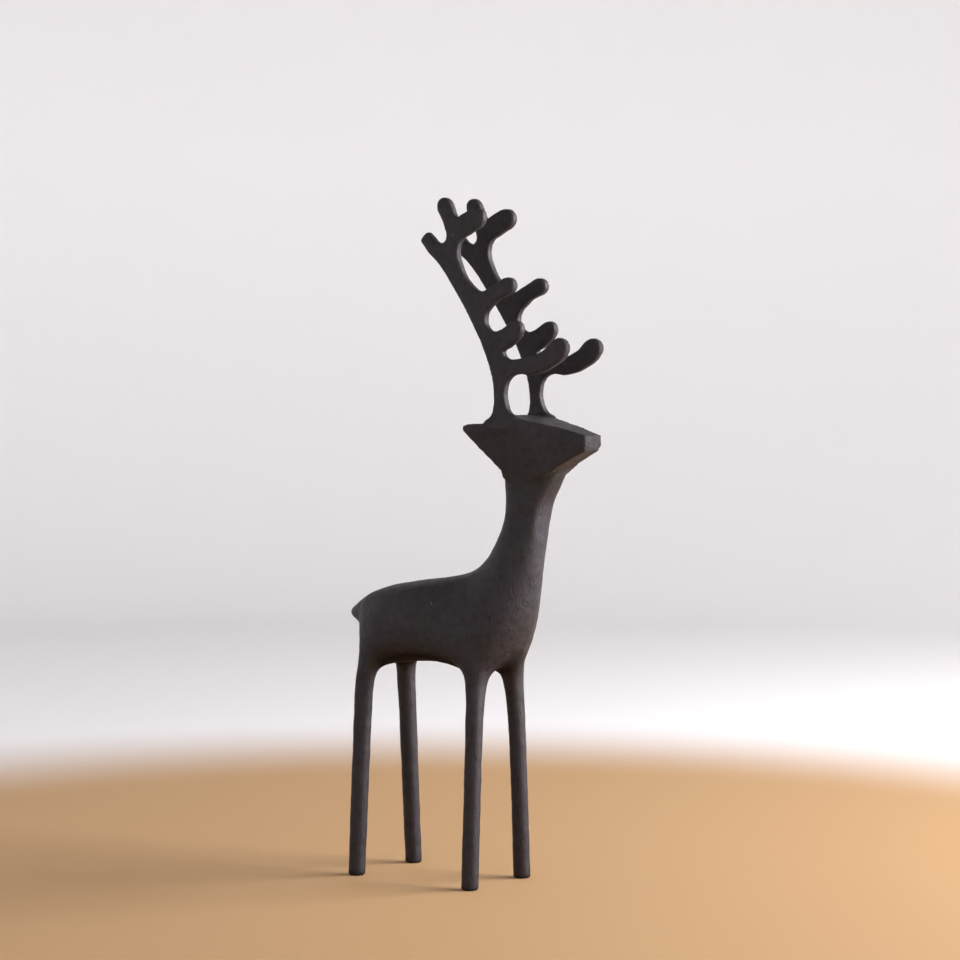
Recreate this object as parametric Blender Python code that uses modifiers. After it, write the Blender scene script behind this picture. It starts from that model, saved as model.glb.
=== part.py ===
# A standing reindeer cast in one piece: four straight round legs, a smooth trunk that bends up
# into the neck, a wedge-shaped head with flat facets, and two flat antlers rising from its sides.
#
# Sizes are in millimetres. They are measured from the point on the floor midway between the feet,
# with X forward and Z up. The figure is the same on both sides of the plane Y = 0.

import math

import bmesh
import bpy
from mathutils import Matrix, Vector

MILLIMETRE = 0.001

# The part's own origin lies on the floor under the middle of its box.
BOX_MIDDLE_X = 26.1

# Legs: round rods that splay slightly outwards on their way down.
REAR_FOOT = (-48.0, 30.8)
REAR_HIP = (-47.2, 23.0)
FRONT_FOOT = (47.6, 28.9)
FRONT_SHOULDER = (47.2, 22.9)
LEG_TOP_Z = 132.0
# Radii at the foot and under the trunk.
REAR_LEG_RADII = (5.75, 6.1)
FRONT_LEG_RADII = (5.8, 5.5)
FOOT_CHAMFER = 0.9
# The legs flare into the belly as round arches: how far along the trunk and how far inwards, and
# how far the belly comes down between them.
REAR_LEG_FLARE = (0.5, 1.2)
FRONT_LEG_FLARE = (1.8, 4.8)
REAR_ARCH_DROP = 3.0
FRONT_ARCH_DROP = 4.5
FLARE_ABOVE_TOP = 3.0
FLARE_BELOW_TOP = 14.0
# A square cage of this half side gives a smoothed rod of radius 1.
CAGE_PER_RADIUS = 1.07

# Trunk and neck: sections from the rump forward along the belly and up to the head. Each has the
# point on its ridge line (back and nape), the point on its keel line (belly, chest and throat),
# its half widths near the ridge, in the middle and near the keel, and how far its corners are
# drawn in from the ridge and from the keel, as a share of its depth.
SECTIONS = [
    # ridge X, Z    keel X, Z       top   mid   low   ridge corner, keel corner
    ((-55, 191.2), (-52.5, 145), 21.0, 23.8, 27.2, 0.12, 0.09),
    ((-44, 194.5), (-37.0, 144.0), 23.0, 28.5, 28.8, 0.14, 0.10),
    ((-25, 198.7), (-16.0, 145.0), 22.5, 29.0, 27.5, 0.14, 0.15),
    ((-6, 201.7), (11.0, 146.0), 22.0, 29.0, 27.5, 0.14, 0.14),
    ((10, 204), (37.5, 144.5), 20.5, 29.0, 28.6, 0.12, 0.08),
    ((24, 205.5), (56.0, 146), 18.5, 28.5, 28.6, 0.10, 0.07),
    ((38, 210), (65.2, 160.0), 16.0, 26.0, 26.0, 0.08, 0.06),
    ((48.2, 219.3), (71.8, 181), 13.5, 20.5, 20.0, 0.06, 0.05),
    ((54.5, 230), (77.0, 202), 12.0, 16.0, 15.0, 0.04, 0.04),
    ((60.0, 242), (81.2, 222), 11.5, 13.0, 12.0, 0.03, 0.03),
    ((62.8, 252), (85.2, 243), 11.5, 12.0, 11.5, 0.02, 0.02),
    ((62.9, 264), (88.3, 257.0), 12.5, 12.6, 12.0, 0.02, 0.02),
    ((63.0, 276), (96.0, 267.5), 13.5, 13.2, 11.8, 0.02, 0.02),
    ((64.0, 297), (110.5, 297), 13.0, 11.5, 8.5, 0.02, 0.02),
]
REAR_LEG_SECTIONS = (0, 1)
FRONT_LEG_SECTIONS = (4, 5)
# How far out the points beside the ridge line and the keel line lie, as a share of the half width.
BESIDE_RIDGE = 0.52
BESIDE_KEEL = 0.54
BESIDE_KEEL_BETWEEN_LEGS = 0.40

# Middle of the rump's rear face, and the short tail drawn out from its upper half.
RUMP_MIDDLE = (-57.8, 166)
RUMP_SIDE_Y = 14.0
TAIL_TIP_TOP = (-76.3, 178.4)
TAIL_TIP_LOW = (-74.3, 172.6)
TAIL_TIP_HALF_WIDTH = 9.0
TAIL_TIP_ROUNDING = 1.5

# Head: trapezoid sections from the muzzle back to the poll and on to the tips of the ears. Each
# has its top edge, the fold along its side and its lower edge, as X, Z and half width.
HEAD_SECTIONS = [
    ((126.2, 300.1, 9.4), (126.7, 294.1, 9.7), (124.8, 290.0, 8.1)),
    ((109.6, 304.2, 12.6), (109.6, 298.0, 12.2), (108.5, 281.7, 9.7)),
    ((94.0, 307.8, 18.0), (94.0, 301.5, 17.4), (97.0, 274.4, 13.0)),
    ((82.0, 310.6, 22.8), (82.0, 304.0, 22.5), (88.0, 267.5, 14.5)),
    ((68.0, 313.3, 23.0), (68.0, 304.5, 23.0), (72.0, 266.5, 15.2)),
    ((60.0, 307.9, 23.0), (59.0, 302.3, 22.6), (66.3, 270.3, 16.0)),
    ((54.0, 307.4, 23.0), (53.0, 302.3, 22.6), (63.8, 277.4, 17.4)),
    ((40.2, 306.4, 22.9), (40.4, 303.0, 22.6), (41.6, 298.3, 21.7)),
    ((37.0, 305.7, 22.9), (35.9, 304.2, 22.7), (37.0, 302.6, 22.5)),
]
HEAD_EDGE_ROUNDING = 0.8
HEAD_EDGE_ANGLE = math.radians(20)

# The hollow behind the poll, which leaves an ear on each side: lower and upper ends of its rear
# and front faces in X and Z, and their half widths.
HOLLOW_REAR = ((24.0, 262.0), (24.0, 330.0), 21.9)
HOLLOW_FRONT = ((60.5, 262.0), (66.5, 330.0), 14.6)

# Antlers: flat plates with rounded rims that lean towards each other on their way up.
ANTLER_THICKNESS = 5.4
ANTLER_RIM_ROUNDING = 1.2
ANTLER_FOOT_Z = 313.0
ANTLER_FOOT_Y = 19.8
ANTLER_LEAN = math.radians(1.68)

# Tines, each about an arc from its root to the middle of its rounded tip: the bow is how far the
# arc's middle lies to the left of the straight line, and the widths are at root, middle and tip.
BACK_TINE = {"root": (12.2, 421.0), "tip": (1.6, 431.5), "bow": 0.0, "widths": (12.0, 10.0, 8.8)}
UP_TINE = {"root": (26.0, 436.0), "tip": (17.1, 451.6), "bow": 0.0, "widths": (12.5, 11.0, 11.0)}
TOP_TINE = {"root": (30.5, 436.2), "tip": (44.0, 442.9), "bow": 0.5, "widths": (13.5, 14.0, 13.0)}
THIRD_TINE = {"root": (55.3, 389.8), "tip": (69.8, 397.4), "bow": 0.5, "widths": (10.5, 10.5, 11.0)}
SECOND_TINE = {"root": (65.5, 361.6), "tip": (77.2, 368.6), "bow": -0.8, "widths": (12.0, 13.5, 11.5)}
BROW_TINE = {"root": (79.0, 345.2), "tip": (112.6, 355.4), "bow": -4.8, "widths": (10.0, 11.0, 13.2)}
# Where an outline point sits on each side of a tine, as shares of its length, where the corners of
# a cut end sit, and the directions of the points round a rounded end.
TINE_SIDE_SHARES = (0.3, 0.7)
CUT_END_SHARES = (0.97, 1.03)
ROUND_END_ANGLES = [math.radians(degrees) for degrees in (76, 26, -26, -76)]

# Bottoms of the notches between neighbouring tines, and the sides of the main beam.
NOTCH_BACK_UP = (19.0, 428.3)
NOTCH_UP_TOP = (30.6, 444.4)
NOTCH_THIRD_SECOND = [(53.5, 375.5), (59.0, 368.2)]
NOTCH_SECOND_BROW = (67.2, 353.7)
BEAM_FOOT_REAR = [(54, 307.3), (60.0, 312.9)]
BEAM_REAR = [(61.9, 324), (56.7, 347), (44.4, 370.5), (29.4, 393.5), (13.5, 414)]
BEAM_FRONT = [(32.3, 429), (29.5, 421), (32.8, 410.5), (40, 400.3), (49.5, 394.4)]
BEAM_FOOT_FRONT = [(80.5, 339.8), (73.7, 336.5), (70.9, 329), (71.7, 320.5), (74.8, 314.8), (79.8, 310.8)]
# The two ends of the antler's foot, buried in the head.
BURIED_REAR = (62.0, 305.5)
BURIED_FRONT = (80.0, 305.5)

# Blackened cast zinc.
METAL_COLOUR = (0.030, 0.027, 0.028, 1.0)
METAL_ROUGHNESS = 0.62
METAL_METALLIC = 0.85
# Edges that turn more than this are shaded as creases.
CREASE_ANGLE = math.radians(35)


def placed(x, y, z):
    return Vector((x - BOX_MIDDLE_X, y, z)) * MILLIMETRE


def between(first, last, share):
    return tuple(a + (b - a) * share for a, b in zip(first, last))


def clear_scene():
    for obj in list(bpy.data.objects):
        bpy.data.objects.remove(obj, do_unlink=True)
    for collection in list(bpy.data.collections):
        bpy.data.collections.remove(collection)


def new_collection(name):
    collection = bpy.data.collections.new(name)
    bpy.context.scene.collection.children.link(collection)
    return collection


def add_object(name, mesh, collection):
    obj = bpy.data.objects.new(name, mesh)
    collection.objects.link(obj)
    return obj


# A shape that is joined or cut away isn't part of the figure by itself.
def as_guide(obj):
    obj.hide_render = True
    obj.display_type = "WIRE"
    return obj


def zinc_material():
    material = bpy.data.materials.new("blackened cast zinc")
    material.use_nodes = True
    shader = material.node_tree.nodes["Principled BSDF"]
    shader.inputs["Base Color"].default_value = METAL_COLOUR
    shader.inputs["Roughness"].default_value = METAL_ROUGHNESS
    shader.inputs["Metallic"].default_value = METAL_METALLIC
    return material


# The seven cage points on the near half of a trunk section, from ridge line to keel line.
def section_points(section, arch_drop):
    ridge, keel, top, middle, low, ridge_corner, keel_corner = section
    beside_keel = BESIDE_KEEL_BETWEEN_LEGS if arch_drop else BESIDE_KEEL
    steps = [
        (0.0, 0.0),
        (0.0, BESIDE_RIDGE * top),
        (ridge_corner, top),
        (0.5, middle),
        (1 - keel_corner, low),
        (1.0, beside_keel * low),
        (1.0, 0.0),
    ]
    points = []
    for share, half_width in steps:
        x, z = between(ridge, keel, share)
        points.append(placed(x, -half_width, z))
    points[5].z -= arch_drop * MILLIMETRE
    return points


# Cage rings of a leg, from under the trunk to the floor, each with its corners in the order of
# the trunk's face above. Each level has its height, how far its ring is drawn in, and 1 if flared.
def leg_rings(foot, hip, radii, flare):
    levels = [
        (LEG_TOP_Z + FLARE_ABOVE_TOP, 0.0, 1),
        (LEG_TOP_Z - FLARE_BELOW_TOP, 0.0, 0),
        (FOOT_CHAMFER, 0.0, 0),
        (0.0, FOOT_CHAMFER, 0),
    ]
    to_middle = -1 if hip[0] > 0 else 1
    rings = []
    for z, drawn_in, flared in levels:
        share = z / LEG_TOP_Z
        x, y = between(foot, hip, share)
        half = (radii[0] + (radii[1] - radii[0]) * share) * CAGE_PER_RADIUS - drawn_in
        ring = []
        for dx, dy in [(-half, -half), (-half, half), (half, half), (half, -half)]:
            if dx * to_middle > 0:
                dx += flare[0] * flared * to_middle
            if dy > 0:
                dy += flare[1] * flared
            ring.append(placed(x + dx, -y + dy, z))
        rings.append(ring)
    return rings


# Both rings of the foot's chamfer are creased, so that the leg stays straight down to it.
def extrude_leg(cage, face_corners, rings, crease):
    upper = face_corners
    for ring in rings:
        lower = [cage.verts.new(point) for point in ring]
        for i in range(4):
            j = (i + 1) % 4
            cage.faces.new([upper[i], upper[j], lower[j], lower[i]])
        chamfer_top = upper
        upper = lower
    cage.faces.new(upper)
    for ring in (chamfer_top, upper):
        for i in range(4):
            cage.edges.get([ring[i], ring[(i + 1) % 4]])[crease] = 1.0


def trunk_cage():
    cage = bmesh.new()
    crease = cage.edges.layers.float.new("crease_edge")
    rings = []
    arch_drops = dict.fromkeys(REAR_LEG_SECTIONS, REAR_ARCH_DROP)
    arch_drops.update(dict.fromkeys(FRONT_LEG_SECTIONS, FRONT_ARCH_DROP))
    for index, section in enumerate(SECTIONS):
        points = section_points(section, arch_drops.get(index, 0.0))
        rings.append([cage.verts.new(point) for point in points])
    for index, (ring, following) in enumerate(zip(rings, rings[1:])):
        for i in range(6):
            over_leg = i == 4 and index in (REAR_LEG_SECTIONS[0], FRONT_LEG_SECTIONS[0])
            if not over_leg:
                cage.faces.new([ring[i], ring[i + 1], following[i + 1], following[i]])

    # The rump: two rows of faces, with the tail drawn out from the upper inner one.
    end = rings[0]
    middle = cage.verts.new(placed(RUMP_MIDDLE[0], 0, RUMP_MIDDLE[1]))
    middle_side = cage.verts.new(placed(RUMP_MIDDLE[0], -RUMP_SIDE_Y, RUMP_MIDDLE[1]))
    cage.faces.new([end[1], end[2], end[3], middle_side])
    cage.faces.new([middle_side, end[3], end[4], end[5]])
    cage.faces.new([middle, middle_side, end[5], end[6]])
    tip_top = cage.verts.new(placed(TAIL_TIP_TOP[0], 0, TAIL_TIP_TOP[1]))
    tip_low = cage.verts.new(placed(TAIL_TIP_LOW[0], 0, TAIL_TIP_LOW[1]))
    side_top_x = TAIL_TIP_TOP[0] + TAIL_TIP_ROUNDING
    side_low_x = TAIL_TIP_LOW[0] + TAIL_TIP_ROUNDING
    side_top = cage.verts.new(placed(side_top_x, -TAIL_TIP_HALF_WIDTH, TAIL_TIP_TOP[1]))
    side_low = cage.verts.new(placed(side_low_x, -TAIL_TIP_HALF_WIDTH, TAIL_TIP_LOW[1]))
    cage.faces.new([end[0], end[1], side_top, tip_top])
    cage.faces.new([end[1], middle_side, side_low, side_top])
    cage.faces.new([middle_side, middle, tip_low, side_low])
    cage.faces.new([tip_top, side_top, side_low, tip_low])

    # The neck's cut end lies inside the head.
    neck_end = rings[-1]
    cage.faces.new([neck_end[0], neck_end[1], neck_end[5], neck_end[6]])
    cage.faces.new([neck_end[1], neck_end[2], neck_end[3], neck_end[4], neck_end[5]])

    legs = [
        (REAR_LEG_SECTIONS, leg_rings(REAR_FOOT, REAR_HIP, REAR_LEG_RADII, REAR_LEG_FLARE)),
        (FRONT_LEG_SECTIONS, leg_rings(FRONT_FOOT, FRONT_SHOULDER, FRONT_LEG_RADII, FRONT_LEG_FLARE)),
    ]
    for (rear, front), leg in legs:
        corners = [rings[rear][4], rings[rear][5], rings[front][5], rings[front][4]]
        extrude_leg(cage, corners, leg, crease)
    bmesh.ops.recalc_face_normals(cage, faces=cage.faces)
    mesh = bpy.data.meshes.new("trunk cage")
    cage.to_mesh(mesh)
    cage.free()
    return mesh


def make_trunk(collection):
    trunk = add_object("reindeer_casting", trunk_cage(), collection)
    mirror = trunk.modifiers.new("both sides", "MIRROR")
    mirror.use_axis = (False, True, False)
    mirror.merge_threshold = 0.00005
    smoothing = trunk.modifiers.new("soft form", "SUBSURF")
    smoothing.levels = 2
    smoothing.render_levels = 2
    return trunk


def closed_mesh(name, rings):
    shape = bmesh.new()
    loops = [[shape.verts.new(point) for point in ring] for ring in rings]
    count = len(loops[0])
    for loop, following in zip(loops, loops[1:]):
        for i in range(count):
            j = (i + 1) % count
            shape.faces.new([loop[i], loop[j], following[j], following[i]])
    shape.faces.new(loops[0])
    shape.faces.new(loops[-1])
    bmesh.ops.recalc_face_normals(shape, faces=shape.faces)
    mesh = bpy.data.meshes.new(name)
    shape.to_mesh(mesh)
    shape.free()
    return mesh


def make_hollow(collection):
    rings = []
    for lower, upper, half in (HOLLOW_REAR, HOLLOW_FRONT):
        corners = [(lower, -half), (upper, -half), (upper, half), (lower, half)]
        rings.append([placed(x, y, z) for (x, z), y in corners])
    return add_object("hollow between the ears", closed_mesh("hollow", rings), collection)


def make_head(collection):
    rings = []
    for edges in HEAD_SECTIONS:
        near = [placed(x, -half, z) for x, z, half in edges]
        far = [placed(x, half, z) for x, z, half in reversed(edges)]
        rings.append(near + far)
    head = add_object("head", closed_mesh("head", rings), collection)
    rounding = head.modifiers.new("softened edges", "BEVEL")
    rounding.width = HEAD_EDGE_ROUNDING * MILLIMETRE
    rounding.segments = 1
    rounding.limit_method = "ANGLE"
    rounding.angle_limit = HEAD_EDGE_ANGLE
    rounding.use_clamp_overlap = False
    parting = head.modifiers.new("parted ears", "BOOLEAN")
    parting.operation = "DIFFERENCE"
    parting.solver = "EXACT"
    parting.object = as_guide(make_hollow(collection))
    return head


# Outline points of one tine, up its left side, round or across its end and down its right side,
# seen from the root towards the tip.
def tine_outline(tine, cut_end=False):
    root = Vector(tine["root"])
    tip = Vector(tine["tip"])
    along = (tip - root).normalized()
    left = Vector((-along.y, along.x))
    root_width, middle_width, tip_width = tine["widths"]

    def centre(share):
        return root.lerp(tip, share) + left * (tine["bow"] * 4 * share * (1 - share))

    def width(share):
        if share < 0.5:
            return root_width + (middle_width - root_width) * share * 2
        return middle_width + (tip_width - middle_width) * (share - 0.5) * 2

    def heading(share):
        return (centre(share + 0.01) - centre(share - 0.01)).normalized()

    def edge_point(share, side):
        ahead = heading(share)
        across = Vector((-ahead.y, ahead.x))
        return centre(share) + across * (side * width(share) / 2)

    up_left = [edge_point(share, 1) for share in TINE_SIDE_SHARES]
    down_right = [edge_point(share, -1) for share in reversed(TINE_SIDE_SHARES)]
    if cut_end:
        end = [edge_point(share, 1) for share in CUT_END_SHARES]
        end += [edge_point(share, -1) for share in reversed(CUT_END_SHARES)]
    else:
        ahead = heading(1.0)
        across = Vector((-ahead.y, ahead.x))
        radius = tip_width / 2
        end = [
            centre(1.0) + ahead * (radius * math.cos(angle)) + across * (radius * math.sin(angle))
            for angle in ROUND_END_ANGLES
        ]
    return up_left + end + down_right


# The antler's outline in X and Z, up its rear edge and down its front edge.
def antler_outline():
    points = [BURIED_REAR] + BEAM_FOOT_REAR + BEAM_REAR
    points += tine_outline(BACK_TINE, cut_end=True)
    points += [NOTCH_BACK_UP] + tine_outline(UP_TINE)
    points += [NOTCH_UP_TOP] + tine_outline(TOP_TINE)
    points += BEAM_FRONT + tine_outline(THIRD_TINE)
    points += NOTCH_THIRD_SECOND + tine_outline(SECOND_TINE)
    points += [NOTCH_SECOND_BROW] + tine_outline(BROW_TINE)
    points += BEAM_FOOT_FRONT + [BURIED_FRONT]
    return points


def make_antler(side, collection):
    points = antler_outline()
    curve = bpy.data.curves.new("antler outline", "CURVE")
    curve.dimensions = "2D"
    curve.fill_mode = "BOTH"
    curve.resolution_u = 2
    curve.extrude = (ANTLER_THICKNESS / 2 - ANTLER_RIM_ROUNDING) * MILLIMETRE
    curve.bevel_depth = ANTLER_RIM_ROUNDING * MILLIMETRE
    curve.bevel_resolution = 0
    curve.offset = -ANTLER_RIM_ROUNDING * MILLIMETRE
    spline = curve.splines.new("BEZIER")
    spline.bezier_points.add(len(points) - 1)
    for knot, (x, z) in zip(spline.bezier_points, points):
        knot.co = ((x - BOX_MIDDLE_X) * MILLIMETRE, (z - ANTLER_FOOT_Z) * MILLIMETRE, 0)
        knot.handle_left_type = "AUTO"
        knot.handle_right_type = "AUTO"
    spline.use_cyclic_u = True
    outline = add_object("antler outline", curve, collection)
    bpy.context.view_layer.update()
    evaluated = outline.evaluated_get(bpy.context.evaluated_depsgraph_get())
    mesh = bpy.data.meshes.new_from_object(evaluated)
    bpy.data.objects.remove(outline, do_unlink=True)
    plate = bmesh.new()
    plate.from_mesh(mesh)
    bmesh.ops.remove_doubles(plate, verts=plate.verts, dist=0.000001)
    bmesh.ops.recalc_face_normals(plate, faces=plate.faces)
    plate.to_mesh(mesh)
    plate.free()
    antler = add_object("antler", mesh, collection)
    stand_up = Matrix.Rotation(math.radians(90) + side * ANTLER_LEAN, 4, "X")
    foot = Vector((0, side * ANTLER_FOOT_Y, ANTLER_FOOT_Z)) * MILLIMETRE
    antler.matrix_world = Matrix.Translation(foot) @ stand_up
    return antler


def main():
    clear_scene()
    figure = new_collection("zinc reindeer figure")
    joined = new_collection("shapes joined or cut away")
    trunk = make_trunk(figure)
    shapes = [make_head(joined)]
    for side in (-1, 1):
        shapes.append(make_antler(side, joined))
    for shape in shapes:
        union = trunk.modifiers.new("joined " + shape.name, "BOOLEAN")
        union.operation = "UNION"
        union.solver = "EXACT"
        union.object = as_guide(shape)
    trunk.data.materials.append(zinc_material())
    trunk.data.shade_smooth()
    trunk.data.set_sharp_from_angle(angle=CREASE_ANGLE)


main()
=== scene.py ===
import math

import bmesh
import bpy
import numpy as np
from mathutils import Matrix, Vector, noise


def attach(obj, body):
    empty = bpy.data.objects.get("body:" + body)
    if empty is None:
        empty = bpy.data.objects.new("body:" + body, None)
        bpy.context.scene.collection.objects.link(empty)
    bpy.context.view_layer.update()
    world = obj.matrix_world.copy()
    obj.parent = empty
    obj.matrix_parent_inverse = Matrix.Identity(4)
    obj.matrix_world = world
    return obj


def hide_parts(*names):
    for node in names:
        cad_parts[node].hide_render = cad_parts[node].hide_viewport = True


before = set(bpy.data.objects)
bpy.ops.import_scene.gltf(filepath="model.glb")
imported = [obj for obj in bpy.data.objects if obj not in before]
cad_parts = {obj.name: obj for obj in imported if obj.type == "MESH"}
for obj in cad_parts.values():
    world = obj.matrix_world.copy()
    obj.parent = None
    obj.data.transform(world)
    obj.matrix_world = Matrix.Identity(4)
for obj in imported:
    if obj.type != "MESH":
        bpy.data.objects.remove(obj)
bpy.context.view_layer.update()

# A standing reindeer, sand-cast in zinc in one piece and blackened. Every size below is in
# millimetres from the point on the floor midway between the feet, X forward and Z up, and
# place() brings it into the frame of the CAD model, which lies under the middle of its box.

boxMiddleX = 26.1


def place(x, y, z):
    return Vector((x - boxMiddleX, y, z)) / 1000


def linearColour(hexText):
    channels = [int(hexText[i:i + 2], 16) / 255 for i in (1, 3, 5)]
    straight = [c / 12.92 if c <= 0.04045 else ((c + 0.055) / 1.055) ** 2.4 for c in channels]
    return (*straight, 1.0)


def mixPoints(first, last, share):
    return tuple(a + (b - a) * share for a, b in zip(first, last))


# Helpers
def newObject(name, mesh):
    obj = bpy.data.objects.new(name, mesh)
    bpy.context.scene.collection.objects.link(obj)
    return obj


# A mesh with its points and faces in a fixed order. The order that the mirror, hole and cutting
# steps leave changes from run to run, and the finished skin would change with it by a hair.
def orderedMesh(name, points, faces):
    order = sorted(range(len(points)), key=lambda index: points[index])
    rank = {old: new for new, old in enumerate(order)}
    turned = []
    for face in faces:
        corners = [rank[index] for index in face]
        first = corners.index(min(corners))
        turned.append(corners[first:] + corners[:first])
    mesh = bpy.data.meshes.new(name)
    mesh.from_pydata([points[index] for index in order], [], sorted(turned))
    return mesh


def meshOf(shape, name):
    shape.verts.index_update()
    points = [tuple(vert.co) for vert in shape.verts]
    faces = [[vert.index for vert in face.verts] for face in shape.faces]
    shape.free()
    return orderedMesh(name, points, faces)


# The object's mesh with its modifiers applied; the object itself goes.
def finishedMesh(obj):
    bpy.context.view_layer.update()
    evaluated = obj.evaluated_get(bpy.context.evaluated_depsgraph_get())
    mesh = bpy.data.meshes.new_from_object(evaluated)
    bpy.data.objects.remove(obj, do_unlink=True)
    return mesh


# Extrudes a row of points from ring to ring, and returns the rings' vertices.
def loftRings(shape, rings, closed):
    row = [shape.verts.new(point) for point in rings[0]]
    ahead = row[1:] + row[:1] if closed else row[1:]
    for a, b in zip(row, ahead):
        shape.edges.new((a, b))
    rows = [row]
    for ring in rings[1:]:
        ahead = row[1:] + row[:1] if closed else row[1:]
        edges = [shape.edges.get((a, b)) for a, b in zip(row, ahead)]
        grown = bmesh.ops.extrude_edge_only(shape, edges=edges)["geom"]
        fresh = [item for item in grown if isinstance(item, bmesh.types.BMVert)]
        row = [next(v for v in fresh if shape.edges.get((old, v))) for old in row]
        for vert, point in zip(row, ring):
            vert.co = point
        rows.append(row)
    return rows


# Trunk and legs
trunk = {
    # ridge point, keel point, half widths at top, middle and low, corners drawn in from ridge, keel
    "sections": [
        ((-56.0, 191.3), (-52.5, 145), 18.0, 21.8, 27.2, 0.16, 0.09),
        ((-44.5, 196.0), (-37.0, 144.0), 22.0, 28.5, 28.8, 0.15, 0.10),
        ((-25, 199.9), (-16.0, 145.0), 22.5, 29.0, 27.5, 0.14, 0.15),
        ((-6, 202.6), (11.0, 146.0), 22.0, 29.0, 27.5, 0.14, 0.14),
        ((10, 204.5), (37.5, 144.5), 20.5, 29.0, 28.6, 0.12, 0.08),
        ((23.2, 206.8), (57.0, 146), 18.5, 28.8, 28.4, 0.10, 0.08),
        ((36.6, 211), (69.6, 160.0), 16.4, 26.6, 25.4, 0.10, 0.18),
        ((46.2, 220), (77.4, 181), 14.2, 22.2, 19.6, 0.10, 0.22),
        ((52.3, 230.5), (81.6, 202), 13.0, 17.6, 15.0, 0.12, 0.22),
        ((58.0, 242), (84.5, 222), 12.2, 14.8, 12.6, 0.13, 0.17),
        ((60.8, 252), (86.6, 243), 12.2, 13.8, 11.0, 0.12, 0.06),
        ((60.6, 264), (89.4, 257.0), 13.0, 14.4, 11.0, 0.10, 0.05),
        ((60.4, 276), (97.6, 266.8), 13.5, 14.6, 9.6, 0.06, 0.05),
        ((62.0, 297), (112.0, 297), 13.0, 10.5, 5.5, 0.02, 0.02),
    ],
    "besideRidge": 0.52,
    "besideRidgeAtRump": 0.92,
    "besideKeel": 0.54,
    "besideKeelBetweenLegs": 0.40,
    "besideKeelAtThroat": 0.66,
    "throatSections": (10, 12),
    "besideDrawnIn": 0.27,  # of the corner's share, so that an end with wide corners is round
    "rumpMiddle": (-59.8, 0, 166),
    "rumpSide": (-55.2, -20.4, 165),
    # the tail's rings: top middle, top side, low side, low middle
    "tailRings": [
        [(-67.0, 0, 184.9), (-64.0, -15.2, 183.0), (-61.2, -17.4, 170.8), (-63.8, 0, 170.2)],
        [(-76.6, 0, 178.4), (-73.0, -9.4, 177.5), (-71.4, -9.4, 174.2), (-74.8, 0, 173.8)],
    ],
    "smoothing": 3,
}
legs = {
    "topZ": 132,
    "chamfer": 0.9,
    "flareAboveTop": 3,
    "flareBelowTop": 14,
    "cagePerRadius": 1.07,
    # sections above the leg, foot, hip, radii at foot and hip, flare along and inwards, arch drop
    "rear": (0, (-48.0, 30.8), (-48.0, 23.0), (5.75, 6.1), (0.5, 1.2), 3.0),
    "front": (4, (47.6, 28.9), (47.2, 22.9), (5.8, 5.5), (1.8, 5.6), 5.4),
}


# Seven cage points on the near half of a section, from ridge to keel.
def sectionRing(index):
    ridge, keel, top, middle, low, ridgeCorner, keelCorner = trunk["sections"][index]
    drops = [leg[5] for leg in (legs["rear"], legs["front"]) if index in (leg[0], leg[0] + 1)]
    besideRidge = trunk["besideRidge"] if index else trunk["besideRidgeAtRump"]
    first, last = trunk["throatSections"]
    atThroat = first <= index <= last
    besideKeel = trunk["besideKeelAtThroat"] if atThroat else trunk["besideKeel"]
    besideKeel = trunk["besideKeelBetweenLegs"] if drops else besideKeel
    besideDrawnIn = 0 if drops else trunk["besideDrawnIn"]
    steps = [
        (0.0, 0.0),
        (trunk["besideDrawnIn"] * ridgeCorner, besideRidge * top),
        (ridgeCorner, top),
        (0.5, middle),
        (1 - keelCorner, low),
        (1 - besideDrawnIn * keelCorner, besideKeel * low),
        (1.0, 0.0),
    ]
    ring = []
    for share, halfWidth in steps:
        x, z = mixPoints(ridge, keel, share)
        ring.append(place(x, -halfWidth, z))
    ring[5].z -= sum(drops) / 1000
    return ring


# Draws a leg down out of the face above it, level by level to the sole.
def drawLeg(cage, face, leg):
    section, foot, hip, radii, flare, drop = leg
    inwards = -1 if hip[0] > 0 else 1
    levels = [
        (legs["topZ"] + legs["flareAboveTop"], 0, 1),
        (legs["topZ"] - legs["flareBelowTop"], 0, 0),
        (legs["chamfer"], 0, 0),
        (0, legs["chamfer"], 0),
    ]
    corners = list(face.verts)
    middle = face.calc_center_median()
    # which corner of the leg's square each vertex of the face belongs to
    signs = [(1 if v.co.x > middle.x else -1, 1 if v.co.y > middle.y else -1) for v in corners]
    for z, drawnIn, flared in levels:
        share = z / legs["topZ"]
        x, y = mixPoints(foot, hip, share)
        half = (radii[0] + (radii[1] - radii[0]) * share) * legs["cagePerRadius"] - drawnIn
        face = bmesh.ops.extrude_discrete_faces(cage, faces=[face])["faces"][0]
        fresh = list(face.verts)
        corners = [next(v for v in fresh if cage.edges.get((old, v))) for old in corners]
        for vert, (signX, signY) in zip(corners, signs):
            alongX = flare[0] * flared * inwards if signX == inwards else 0
            alongY = flare[1] * flared if signY > 0 else 0
            vert.co = place(x + half * signX + alongX, -y + half * signY + alongY, z)


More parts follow.
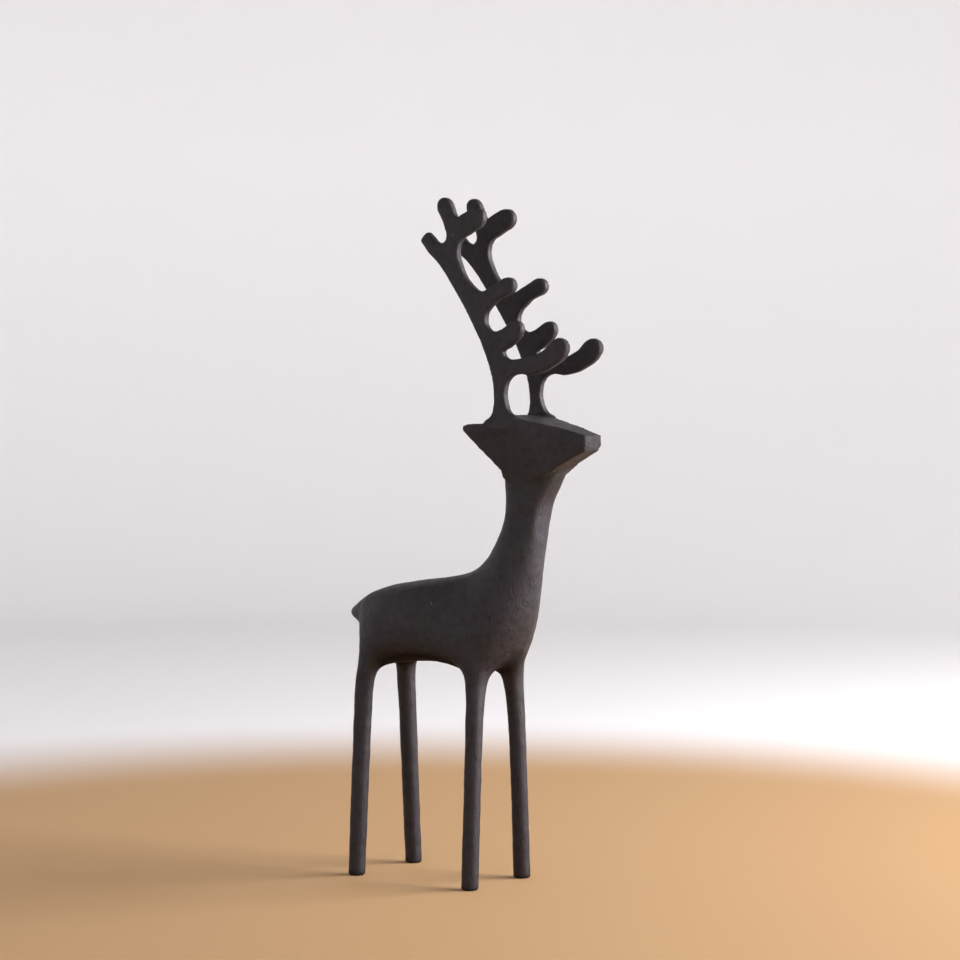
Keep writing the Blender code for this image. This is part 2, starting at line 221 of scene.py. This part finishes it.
def makeTrunk():
    cage = bmesh.new()
    rows = loftRings(cage, [sectionRing(i) for i in range(len(trunk["sections"]))], closed=False)
    # the rump: three faces, and a fourth that is drawn out into the tail
    end = rows[0]
    middle = cage.verts.new(place(*trunk["rumpMiddle"]))
    side = cage.verts.new(place(*trunk["rumpSide"]))
    cage.faces.new((end[1], end[2], end[3], side))
    cage.faces.new((side, end[3], end[4], end[5]))
    cage.faces.new((middle, side, end[5], end[6]))
    root = [end[0], end[1], side, middle]
    tailFace = cage.faces.new(root)
    for ring in trunk["tailRings"]:
        tailFace = bmesh.ops.extrude_discrete_faces(cage, faces=[tailFace])["faces"][0]
        root = [next(v for v in tailFace.verts if cage.edges.get((old, v))) for old in root]
        for vert, point in zip(root, ring):
            vert.co = place(*point)
    for leg in (legs["rear"], legs["front"]):
        a, b = rows[leg[0]], rows[leg[0] + 1]
        drawLeg(cage, cage.faces.get((a[4], a[5], b[5], b[4])), leg)
    # the other side, without the faces that would lie in the middle plane
    inner = [f for f in cage.faces if all(abs(v.co.y) < 1e-7 for v in f.verts)]
    bmesh.ops.delete(cage, geom=inner, context="FACES")
    bmesh.ops.mirror(cage, geom=cage.verts[:] + cage.edges[:] + cage.faces[:], axis="Y", merge_dist=5e-5)
    bmesh.ops.holes_fill(cage, edges=[e for e in cage.edges if e.is_boundary], sides=0)
    bmesh.ops.recalc_face_normals(cage, faces=cage.faces)
    mesh = meshOf(cage, "trunkCage")
    # the level edges of the soles stay sharp
    creases = mesh.attributes.new("crease_edge", "FLOAT", "EDGE")
    for edge, crease in zip(mesh.edges, creases.data):
        low, high = sorted(mesh.vertices[index].co.z for index in edge.vertices)
        crease.value = float(high < legs["chamfer"] / 1000 + 1e-6 and high - low < 1e-6)
    shape = newObject("trunkCage", mesh)
    smooth = shape.modifiers.new("softForm", "SUBSURF")
    smooth.levels = trunk["smoothing"]
    smooth.render_levels = trunk["smoothing"]
    return finishedMesh(shape)


# Head
head = {
    # top edge, fold along the side and lower edge, each as X, Z and half width, muzzle to ear tips
    "sections": [
        ((126.2, 300.1, 9.4), (126.7, 294.1, 9.7), (124.8, 290.0, 8.1)),
        ((109.6, 304.8, 12.6), (109.6, 298.0, 12.2), (108.5, 281.7, 9.7)),
        ((94.0, 308.1, 18.0), (94.0, 301.5, 17.4), (97.0, 274.4, 13.0)),
        ((82.0, 310.6, 22.4), (82.0, 304.0, 22.2), (86.6, 268.9, 12.8)),
        ((68.0, 313.3, 22.5), (68.0, 304.5, 22.5), (71.2, 268.6, 13.9)),
        ((60.0, 307.9, 22.6), (59.0, 302.3, 22.4), (63.8, 271.6, 14.7)),
        ((54.0, 307.4, 22.9), (53.0, 302.3, 22.6), (63.4, 277.3, 17.4)),
        ((40.2, 307.0, 22.9), (40.4, 303.0, 22.6), (41.2, 297.8, 21.7)),
        ((37.0, 305.7, 22.9), (35.4, 304.2, 22.7), (36.4, 302.4, 22.5)),
    ],
    # hollow behind the poll: lower and upper ends of its rear and front faces, and half width
    "hollow": [((24.0, 262.0), (24.0, 330.0), 21.9), ((60.5, 262.0), (66.5, 330.0), 14.6)],
}


def closedLoft(name, rings):
    shape = bmesh.new()
    loftRings(shape, rings, closed=True)
    bmesh.ops.holes_fill(shape, edges=[e for e in shape.edges if e.is_boundary], sides=0)
    bmesh.ops.recalc_face_normals(shape, faces=shape.faces)
    return newObject(name, meshOf(shape, name))


def makeHead():
    rings = []
    for edges in head["sections"]:
        near = [place(x, -half, z) for x, z, half in edges]
        far = [place(x, half, z) for x, z, half in reversed(edges)]
        rings.append(near + far)
    block = closedLoft("headBlock", rings)
    rings = []
    for lower, upper, half in head["hollow"]:
        corners = [(lower, -half), (upper, -half), (upper, half), (lower, half)]
        rings.append([place(x, y, z) for (x, z), y in corners])
    hollow = closedLoft("hollowBlock", rings)
    parting = block.modifiers.new("partedEars", "BOOLEAN")
    parting.operation = "DIFFERENCE"
    parting.solver = "EXACT"
    parting.object = hollow
    mesh = finishedMesh(block)
    bpy.data.objects.remove(hollow, do_unlink=True)
    points = [tuple(vert.co) for vert in mesh.vertices]
    return orderedMesh("headBlock", points, [list(face.vertices) for face in mesh.polygons])


# Antlers
antler = {
    "thickness": 5.7,
    "farHeight": 1.006,  # the far antler stands a little taller
    "rimRounding": 1.0,
    "rimSteps": 3,
    "curveSteps": 6,
    "footZ": 313.0,
    "footY": 20.1,
    "leanDegrees": 1.68,
    # root, tip, bow of the middle line, widths at root, middle and tip
    "back": ((12.2, 421.0), (1.6, 431.5), 0.0, (10.8, 9.8, 8.8)),
    "up": ((26.0, 436.0), (17.1, 451.8), 0.0, (12.5, 11.0, 11.0)),
    "top": ((30.5, 436.0), (44.5, 442.8), 0.5, (14.0, 14.8, 13.2)),
    "third": ((55.3, 389.8), (71.2, 397.5), 0.5, (10.5, 10.5, 11.0)),
    "second": ((65.5, 361.3), (78.1, 368.9), -0.8, (12.6, 14.0, 11.5)),
    "brow": ((79.0, 345.8), (113.1, 356.3), -4.6, (12.0, 12.2, 13.4)),
    "sideShares": (0.3, 0.7),
    "cutShares": (0.97, 1.03),
    "roundDegrees": (76, 26, -26, -76),
    "footRear": [(62.0, 304.2), (54, 307.3), (60.0, 312.9)],
    "beamRear": [(61.9, 324), (56.7, 347), (44.4, 370.5), (29.4, 393.5), (12.2, 414.8)],
    "notchBackUp": [(19.0, 428.3)],
    "notchUpTop": [(30.6, 444.4)],
    "beamFront": [(32.3, 429), (29.5, 421), (32.8, 410.5), (40, 400.3), (49.5, 394.4)],
    "notchThirdSecond": [(53.5, 375.5), (59.0, 368.2)],
    "notchSecondBrow": [(68.4, 354.2)],
    "footFront": [
        (80.5, 339.8), (73.7, 336.5), (70.9, 329), (71.7, 320.5), (74.8, 314.8), (80.8, 310.8),
        (78.0, 306.4), (70.0, 303.4),
    ],
}


# Outline of one tine, up its left side, round or across its end and down its right side.
def tineOutline(tine, cutEnd=False):
    root, tip, bow, widths = Vector(tine[0]), Vector(tine[1]), tine[2], tine[3]
    along = (tip - root).normalized()
    left = Vector((-along.y, along.x))

    def centre(share):
        return root.lerp(tip, share) + left * (bow * 4 * share * (1 - share))

    def width(share):
        if share < 0.5:
            return widths[0] + (widths[1] - widths[0]) * share * 2
        return widths[1] + (widths[2] - widths[1]) * (share - 0.5) * 2

    def edgePoint(share, side):
        ahead = (centre(share + 0.01) - centre(share - 0.01)).normalized()
        return centre(share) + Vector((-ahead.y, ahead.x)) * (side * width(share) / 2)

    upLeft = [edgePoint(share, 1) for share in antler["sideShares"]]
    downRight = [edgePoint(share, -1) for share in reversed(antler["sideShares"])]
    if cutEnd:
        end = [edgePoint(share, 1) for share in antler["cutShares"]]
        end += [edgePoint(share, -1) for share in reversed(antler["cutShares"])]
    else:
        ahead = (centre(1.01) - centre(0.99)).normalized()
        across = Vector((-ahead.y, ahead.x))
        angles = [math.radians(degrees) for degrees in antler["roundDegrees"]]
        radius = widths[2] / 2
        end = [centre(1) + (ahead * math.cos(a) + across * math.sin(a)) * radius for a in angles]
    return upLeft + end + downRight


def antlerOutline():
    points = antler["footRear"] + antler["beamRear"] + tineOutline(antler["back"], cutEnd=True)
    points += antler["notchBackUp"] + tineOutline(antler["up"])
    points += antler["notchUpTop"] + tineOutline(antler["top"])
    points += antler["beamFront"] + tineOutline(antler["third"])
    points += antler["notchThirdSecond"] + tineOutline(antler["second"])
    points += antler["notchSecondBrow"] + tineOutline(antler["brow"])
    return points + antler["footFront"]


# A flat plate in the outline's shape with a rounded rim, stood up on its side of the head.
def makeAntler(side):
    points = antlerOutline()
    taller = antler["farHeight"] if side > 0 else 1.0
    rounding = antler["rimRounding"] / 1000
    curve = bpy.data.curves.new("antlerOutline", "CURVE")
    curve.dimensions = "2D"
    curve.fill_mode = "BOTH"
    curve.resolution_u = antler["curveSteps"]
    curve.extrude = antler["thickness"] / 2000 - rounding
    curve.bevel_depth = rounding
    curve.bevel_resolution = antler["rimSteps"]
    curve.offset = -rounding
    spline = curve.splines.new("BEZIER")
    spline.bezier_points.add(len(points) - 1)
    for knot, (x, z) in zip(spline.bezier_points, points):
        knot.co = Vector((x - boxMiddleX, (z - antler["footZ"]) * taller, 0)) / 1000
        knot.handle_left_type = "AUTO"
        knot.handle_right_type = "AUTO"
    spline.use_cyclic_u = True
    plate = bmesh.new()
    plate.from_mesh(finishedMesh(newObject("antlerOutline", curve)))
    bmesh.ops.remove_doubles(plate, verts=plate.verts, dist=1e-6)
    bmesh.ops.recalc_face_normals(plate, faces=plate.faces)
    lean = Matrix.Rotation(math.radians(90 + side * antler["leanDegrees"]), 4, "X")
    foot = Matrix.Translation(Vector((0, side * antler["footY"], antler["footZ"])) / 1000)
    bmesh.ops.transform(plate, matrix=foot @ lean, verts=plate.verts)
    return meshOf(plate, "antlerPlate")


# The casting: one skin over all of it, its soft joints and its hand-worked surface
casting = {
    "skinStep": 1.12,  # mm between the points of the finished skin
    # joints whose inner corners are filled soft: middle, reach and number of passes
    "softJoints": [
        ((84, 0, 264), 34, 60),
        ((60, 20, 310), 13, 12),
        ((80, 20, 311), 12, 24),
        ((-64, 0, 174), 20, 30),
    ],
    "fillRate": 0.5,
    # uneven surface left by hand work on the pattern: height and width of the swells, in mm
    "swells": [(0.24, 11.0), (0.12, 5.0)],
    "facets": (0.16, 6.5),  # depth and width of the shallow hollows between soft ridges
    "levelSoles": 6.0,  # height over which the unevenness dies out towards the soles
    "rimSharpness": (0.07, 0.19),  # how far a point stands out from its neighbours on a worn rim
    "rimSpread": 2,  # passes that soften the worn rims
    "muzzleFrom": 118.0,
    "muzzleFacing": (0.6, 0.8),  # how squarely the muzzle's flat face looks forward
    "bellyHeights": (110.0, 170.0),
    "bellyFacing": (0.43, 0.77),  # how squarely a place under the belly with painted shade looks down
    "soleRim": (0.8, 2.8),  # heights over which the painted contact shadow at the soles fades
    "paintedShadeSpread": 4,  # passes that soften the edges of the painted shade
}


# A mesh's points and outward directions, in millimetres from the feet, and its edges.
def meshArrays(mesh):
    points = np.empty(len(mesh.vertices) * 3)
    outwards = np.empty_like(points)
    edges = np.empty(len(mesh.edges) * 2, dtype=np.int32)
    mesh.vertices.foreach_get("co", points)
    mesh.vertex_normals.foreach_get("vector", outwards)
    mesh.edges.foreach_get("vertices", edges)
    points = points.reshape(-1, 3) * 1000 + (boxMiddleX, 0, 0)
    return points, outwards.reshape(-1, 3), edges.reshape(-1, 2)


def writePoints(mesh, points):
    mesh.vertices.foreach_set("co", ((points - (boxMiddleX, 0, 0)) / 1000).ravel())
    mesh.update()


# The mean of the neighbours' values at each point.
def neighbourMean(values, edges):
    first, second = edges.T
    size = len(values)
    counts = np.bincount(first, minlength=size) + np.bincount(second, minlength=size)
    columns = []
    for column in values.T:
        total = np.bincount(first, column[second], size) + np.bincount(second, column[first], size)
        columns.append(total / counts)
    return np.stack(columns, axis=1)


# Raises the bottoms of inner corners near each joint, as a caster's fillet does, at full strength
# over the inner half of its reach, and leaves outer edges as they are.
def fillJoints(mesh):
    points, outwards, edges = meshArrays(mesh)
    for (x, y, z), reach, passes in casting["softJoints"]:
        away = np.linalg.norm((points - (x, 0, z)) * (1, 0, 1), axis=1)
        aside = np.abs(np.abs(points[:, 1]) - y) if y else 0
        near = np.clip(2 - 2 * np.hypot(away, aside) / reach, 0, 1)
        for _ in range(passes):
            rise = ((neighbourMean(points, edges) - points) * outwards).sum(axis=1)
            points += outwards * (casting["fillRate"] * near * np.maximum(rise, 0))[:, None]
    writePoints(mesh, points)


# Works the uneven surface into the mesh, along its outward directions.
def workSurface(mesh):
    points, outwards, _ = meshArrays(mesh)
    facetDepth, facetWidth = casting["facets"]
    heights = np.zeros(len(points))
    for index, point in enumerate(points):
        spot = Vector(point)
        height = 0
        for swell, width in casting["swells"]:
            height += swell * noise.noise(spot / width)
        height += facetDepth * (noise.voronoi(spot / facetWidth)[0][0] - 0.5)
        heights[index] = height
    heights *= np.clip(points[:, 2] / casting["levelSoles"], 0, 1)
    writePoints(mesh, points + outwards * heights[:, None])


def ramp(values, low, high):
    return np.clip((values - low) / (high - low), 0, 1)


# Keeps on the mesh where its rims are worn, where the muzzle's flat face is, and where shade is painted:
# the belly's underside as painted shade and the bottom of each foot as a painted contact shadow.
def markSurface(mesh):
    points, outwards, edges = meshArrays(mesh)
    heights = points[:, 2]
    standsOut = ((points - neighbourMean(points, edges)) * outwards).sum(axis=1)[:, None]
    for _ in range(casting["rimSpread"]):
        standsOut = neighbourMean(standsOut, edges)
    worn = ramp(standsOut[:, 0], *casting["rimSharpness"])
    muzzle = ramp(outwards[:, 0], *casting["muzzleFacing"]) * (points[:, 0] > casting["muzzleFrom"])
    # painted shade on the belly's underside, and a painted contact shadow round the bottom of each foot
    low, high = casting["bellyHeights"]
    belly = ramp(-outwards[:, 2], *casting["bellyFacing"]) * (heights > low) * (heights < high)
    sole = 1 - ramp(heights, *casting["soleRim"])
    paintedShadeBelow = np.maximum(belly, sole)[:, None]
    for _ in range(casting["paintedShadeSpread"]):
        paintedShadeBelow = neighbourMean(paintedShadeBelow, edges)
    for name, values in (("wornRim", worn), ("muzzleFace", muzzle), ("paintedShadeBelow", paintedShadeBelow[:, 0])):
        mesh.attributes.new(name, "FLOAT", "POINT").data.foreach_set("value", values)


def makeCasting():
    parts = [makeTrunk(), makeHead(), makeAntler(-1), makeAntler(1)]
    print("trunk, head and antlers shaped")
    joined = bmesh.new()
    for mesh in parts:
        joined.from_mesh(mesh)
    obj = newObject("reindeerZincCasting", meshOf(joined, "reindeerZincCasting"))
    skin = obj.modifiers.new("oneSkin", "REMESH")
    skin.mode = "VOXEL"
    skin.voxel_size = casting["skinStep"] / 1000
    skin.use_smooth_shade = True
    mesh = finishedMesh(obj)
    print("one skin:", len(mesh.polygons), "faces")
    fillJoints(mesh)
    workSurface(mesh)
    markSurface(mesh)
    print("joints filled and surface worked")
    return newObject("reindeerZincCasting", mesh)


# Material
def addNode(tree, kind, settings=None, links=None):
    node = tree.nodes.new(kind)
    for name, value in (settings or {}).items():
        if isinstance(name, str) and hasattr(node, name):
            setattr(node, name, value)
        else:
            node.inputs[name].default_value = value
    for name, source in (links or {}).items():
        tree.links.new(source, node.inputs[name])
    return node


# Zinc cast in sand, dressed by hand with a rasp and blackened: a dull charcoal metal with a cast of
# purple and of grey-green, dark strokes of the rasp that run up and down, a dark grain and a few
# pale specks, rims rubbed a little brighter, painted shade under the belly and a painted shadow round
# the soles.
patina = {
    "purple": "#342E32",
    "greenGrey": "#323030",
    "deep": "#252125",
    "rubbed": "#5A5356",
    "paintedShade": "#21190F",
    # colour of the painted shade under the belly and of the painted contact shadow round the soles
    "speck": "#8C8682",
    "unshadedEdge": "#FFFFFF",  # tone of the shine where the metal is seen along its surface
    # tone of that shine where shade is painted under the belly and round the soles: painted shade on the
    # reflection
    "paintedShadeEdge": "#3A332A",
    "metallic": 0.62,
    "roughness": (0.50, 0.64),
    # width in mm, levels of the noise that become 0 and 1, and detail
    "tint": (17.0, (0.38, 0.62), 2.0),
    "mottle": (5.0, (0.42, 0.72), 3.0),
    # sand grain is 0.2 to 0.4 mm; it is drawn at 1.3 mm, because finer grain is lost in the picture
    "grain": (1.3, (0.30, 0.70), 3.0),
    "strokes": ((0.61, 0.72), 1.0),
    "strokeSize": (1.4, 1.4, 6.5),  # mm along X, Y and Z
    # spacing in mm, radius against the spacing, and share of the places that have a mark
    "pits": (4.2, 0.20, 0.30),
    "specks": (7.5, 0.08, 0.07),
    # how strongly each layer tones the metal
    "mottleTone": 0.45,
    "strokeTone": 0.75,
    "pitTone": 0.7,
    "wornTone": 0.25,
    "muzzleTone": 0.30,
    "paintedShadeTone": 0.5,
    "speckTone": 1.0,
    # how strongly each layer dulls it, from the first roughness to the second and beyond
    "mottleDulls": 0.5,
    "grainDulls": 0.5,
    "paintedShadeDulls": 1.5,
    "muzzleDulls": 1.2,
    # how far each layer stands out, or in where it is negative, against the relief depth
    "grainRelief": 0.45,
    "muzzleRelief": 3.0,
    "mottleRelief": -0.5,
    "strokeRelief": -1.0,
    "pitRelief": -1.2,
    "reliefDepth": 0.00016,  # m
}


# Noise whose pattern is so many millimetres wide, from 0 to 1 between two levels of the noise.
def patternNoise(tree, where, width, levels, detail):
    pattern = addNode(
        tree, "ShaderNodeTexNoise",
        {"Scale": 1000 / width, "Detail": detail},
        {"Vector": where},
    )
    return addNode(
        tree, "ShaderNodeMapRange",
        {"From Min": levels[0], "From Max": levels[1]},
        {"Value": pattern.outputs["Fac"]},
    ).outputs["Result"]


# Small round marks, one to a cell of the given spacing, where the cell's own number is low.
def scatteredMarks(tree, where, spacing, radius, share):
    cells = addNode(tree, "ShaderNodeTexVoronoi", {"Scale": 1000 / spacing}, {"Vector": where})
    spot = addNode(
        tree, "ShaderNodeMapRange",
        {"From Min": radius, "From Max": radius * 0.5},
        {"Value": cells.outputs["Distance"]},
    )
    number = addNode(tree, "ShaderNodeSeparateColor", links={0: cells.outputs["Color"]})
    chosen = addNode(
        tree, "ShaderNodeMath", {"operation": "LESS_THAN", 1: share}, {0: number.outputs[0]}
    )
    both = {0: spot.outputs["Result"], 1: chosen.outputs[0]}
    return addNode(tree, "ShaderNodeMath", {"operation": "MULTIPLY"}, both).outputs[0]


# The sum of layers, each times its weight.
def weightedSum(tree, layers):
    total = None
    for layer, weight in layers:
        links = {0: layer, 2: total} if total else {0: layer}
        settings = {"operation": "MULTIPLY_ADD", 1: weight, 2: 0.0}
        total = addNode(tree, "ShaderNodeMath", settings, links).outputs[0]
    return total


# The colour below toned towards one of the patina's colours, by a layer and its strength.
def tonedBy(tree, colour, layer, strength, tone):
    share = weightedSum(tree, [(layer, strength)])
    tones = {"data_type": "RGBA", 7: linearColour(patina[tone])}
    return addNode(tree, "ShaderNodeMix", tones, {0: share, 6: colour}).outputs[2]


def blackenedSandCastZinc():
    material = bpy.data.materials.new("blackenedSandCastZinc")
    material.use_nodes = True
    tree = material.node_tree
    shader = tree.nodes["Principled BSDF"]
    where = addNode(tree, "ShaderNodeTexCoord").outputs["Object"]
    worn, muzzle, paintedShade = [
        addNode(tree, "ShaderNodeAttribute", {"attribute_name": name}).outputs["Fac"]
        for name in ("wornRim", "muzzleFace", "paintedShadeBelow")
    ]
    tint = patternNoise(tree, where, *patina["tint"])
    mottle = patternNoise(tree, where, *patina["mottle"])
    grain = patternNoise(tree, where, *patina["grain"])
    narrow = tuple(1000 / size for size in patina["strokeSize"])
    drawn = addNode(tree, "ShaderNodeVectorMath", {"operation": "MULTIPLY", 1: narrow}, {0: where})
    strokes = patternNoise(tree, drawn.outputs[0], 1000, *patina["strokes"])
    pits = scatteredMarks(tree, where, *patina["pits"])
    specks = scatteredMarks(tree, where, *patina["specks"])
    rough = addNode(tree, "ShaderNodeMath", {"operation": "MULTIPLY"}, {0: muzzle, 1: grain})
    muzzleGrain = rough.outputs[0]

    tones = {"data_type": "RGBA"}
    tones[6] = linearColour(patina["purple"])
    tones[7] = linearColour(patina["greenGrey"])
    colour = addNode(tree, "ShaderNodeMix", tones, {0: tint}).outputs[2]
    for layer, strength, tone in (
        (mottle, patina["mottleTone"], "deep"),
        (strokes, patina["strokeTone"], "deep"),
        (pits, patina["pitTone"], "deep"),
        (worn, patina["wornTone"], "rubbed"),
        (muzzleGrain, patina["muzzleTone"], "rubbed"),
        # painted shade under the belly and painted shadow round the soles
        (paintedShade, patina["paintedShadeTone"], "paintedShade"),
        (specks, patina["speckTone"], "speck"),
    ):
        colour = tonedBy(tree, colour, layer, strength, tone)
    tree.links.new(colour, shader.inputs["Base Color"])

    low, high = patina["roughness"]
    dulled = weightedSum(tree, [
        (mottle, patina["mottleDulls"]),
        (grain, patina["grainDulls"]),
        (paintedShade, patina["paintedShadeDulls"]),
        (muzzle, patina["muzzleDulls"]),
    ])
    dullness = addNode(
        tree, "ShaderNodeMapRange", {"To Min": low, "To Max": high, "clamp": False}, {"Value": dulled}
    )
    tree.links.new(dullness.outputs["Result"], shader.inputs["Roughness"])
    shader.inputs["Metallic"].default_value = patina["metallic"]
    # where shade is painted, the metal's shine is dimmed too, where it is seen along its surface:
    # painted shade on the reflection
    tones = {"data_type": "RGBA"}
    tones[6] = linearColour(patina["unshadedEdge"])
    tones[7] = linearColour(patina["paintedShadeEdge"])
    edgeTone = addNode(tree, "ShaderNodeMix", tones, {0: paintedShade})
    tree.links.new(edgeTone.outputs[2], shader.inputs["Specular Tint"])

    height = weightedSum(tree, [
        (grain, patina["grainRelief"]),
        (muzzleGrain, patina["muzzleRelief"]),
        (mottle, patina["mottleRelief"]),
        (strokes, patina["strokeRelief"]),
        (pits, patina["pitRelief"]),
    ])
    relief = addNode(
        tree, "ShaderNodeBump", {"Strength": 1.0, "Distance": patina["reliefDepth"]}, {"Height": height}
    )
    tree.links.new(relief.outputs["Normal"], shader.inputs["Normal"])
    return material


# Camera, floor and light
studio = {
    "cameraPlace": (1143.7, -1449.4, 331.3),
    "cameraTurn": (88.058, 0, 37.44),
    "lens": 102.6,
    "sensorWidth": 36,
    "floorRadius": 2.0,
    "innerRing": 0.4,
    "turnSteps": 96,
    "sweepSteps": 8,
    "sweepRadius": 0.7,
    "wallHeight": 2.4,
    "nearColour": "#B68F60",  # floor round the figure
    "farColour": "#F2F0EE",  # floor and wall beyond
    "fadeFrom": 0.5,
    "fadeTo": 0.9,
    "skyColour": "#FFFFFF",
    "skyStrength": 0.16,
    # a window on the right of the camera, the dim room behind it, a little light from the left, and
    # the light on the wall beyond: place and aim in metres, size, watts and colour
    "lights": [
        ("windowLight", (1.22, 0.85, 0.75), (0.0, 0, 0.22), (1.35, 1.2), 67, "#FAF8FF"),
        ("roomLight", (0.9, -1.9, 1.0), (0.0, 0, 0.25), (1.6, 1.2), 6.6, "#DAE6F8"),
        ("leftLight", (-1.9, -0.2, 0.8), (0.0, 0, 0.2), (1.2, 1.2), 2.5, "#F4F6FF"),
        ("wallLight", (0.9, 1.9, 1.5), (-0.6, 2.7, 0.6), (1.2, 0.6), 8, "#FFFFFF"),
    ],
}


def makeCamera():
    camera = bpy.data.cameras.new("photoCamera")
    camera.lens = studio["lens"]
    camera.sensor_width = studio["sensorWidth"]
    obj = newObject("photoCamera", camera)
    obj.location = place(*studio["cameraPlace"])
    obj.rotation_euler = [math.radians(a) for a in studio["cameraTurn"]]
    bpy.context.scene.camera = obj


def paleStudioFloor():
    material = bpy.data.materials.new("paleStudioFloor")
    material.use_nodes = True
    tree = material.node_tree
    shader = tree.nodes["Principled BSDF"]
    shader.inputs["Roughness"].default_value = 0.8
    where = addNode(tree, "ShaderNodeTexCoord")
    away = addNode(tree, "ShaderNodeVectorMath", {"operation": "LENGTH"}, {0: where.outputs["Object"]})
    fade = addNode(
        tree, "ShaderNodeMapRange",
        {
            "interpolation_type": "SMOOTHSTEP",
            "From Min": studio["fadeFrom"],
            "From Max": studio["fadeTo"],
        },
        {"Value": away.outputs["Value"]},
    )
    tones = {"data_type": "RGBA"}
    tones[6] = linearColour(studio["nearColour"])
    tones[7] = linearColour(studio["farColour"])
    tone = addNode(tree, "ShaderNodeMix", tones, {0: fade.outputs["Result"]})
    tree.links.new(tone.outputs[2], shader.inputs["Base Color"])
    return material


def makeFloor():
    shape = bmesh.new()
    flat, bend, top = studio["floorRadius"], studio["sweepRadius"], studio["wallHeight"]
    profile = [(0, 0), (studio["innerRing"], 0), (flat, 0)]
    for step in range(1, studio["sweepSteps"] + 1):
        angle = math.radians(90 * step / studio["sweepSteps"])
        profile.append((flat + bend * math.sin(angle), bend * (1 - math.cos(angle))))
    profile.append((flat + bend, top))
    verts = [shape.verts.new((x, 0, z)) for x, z in profile]
    edges = [shape.edges.new(pair) for pair in zip(verts, verts[1:])]
    bmesh.ops.spin(
        shape, geom=verts + edges, axis=(0, 0, 1), cent=(0, 0, 0), angle=math.tau,
        steps=studio["turnSteps"], use_merge=True,
    )
    bmesh.ops.remove_doubles(shape, verts=shape.verts, dist=1e-5)
    bmesh.ops.recalc_face_normals(shape, faces=shape.faces)
    mesh = meshOf(shape, "paleFloor")
    mesh.flip_normals()
    mesh.shade_smooth()
    mesh.materials.append(paleStudioFloor())
    floor = newObject("paleFloor", mesh)


def addSoftLight(name, standsAt, aimsAt, size, watts, colour):
    light = bpy.data.lights.new(name, "AREA")
    light.shape = "RECTANGLE"
    light.size, light.size_y = size
    light.energy = watts
    light.color = linearColour(colour)[:3]
    obj = newObject(name, light)
    obj.location = standsAt
    obj.rotation_euler = (Vector(aimsAt) - Vector(standsAt)).to_track_quat("-Z", "Y").to_euler()
    obj.visible_camera = False


def makeLight():
    world = bpy.data.worlds.new("paleStudio")
    world.use_nodes = True
    sky = world.node_tree.nodes["Background"]
    sky.inputs["Color"].default_value = linearColour(studio["skyColour"])
    sky.inputs["Strength"].default_value = studio["skyStrength"]
    bpy.context.scene.world = world
    for values in studio["lights"]:
        addSoftLight(*values)


bpy.context.scene.view_settings.view_transform = "Standard"
makeCamera()
makeFloor()
makeLight()
print("camera, floor and light placed")
reindeerZincCasting = makeCasting()
reindeerZincCasting.data.materials.clear()
reindeerZincCasting.data.materials.append(blackenedSandCastZinc())
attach(reindeerZincCasting, "root")
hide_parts("reindeer_casting")
print("casting finished")
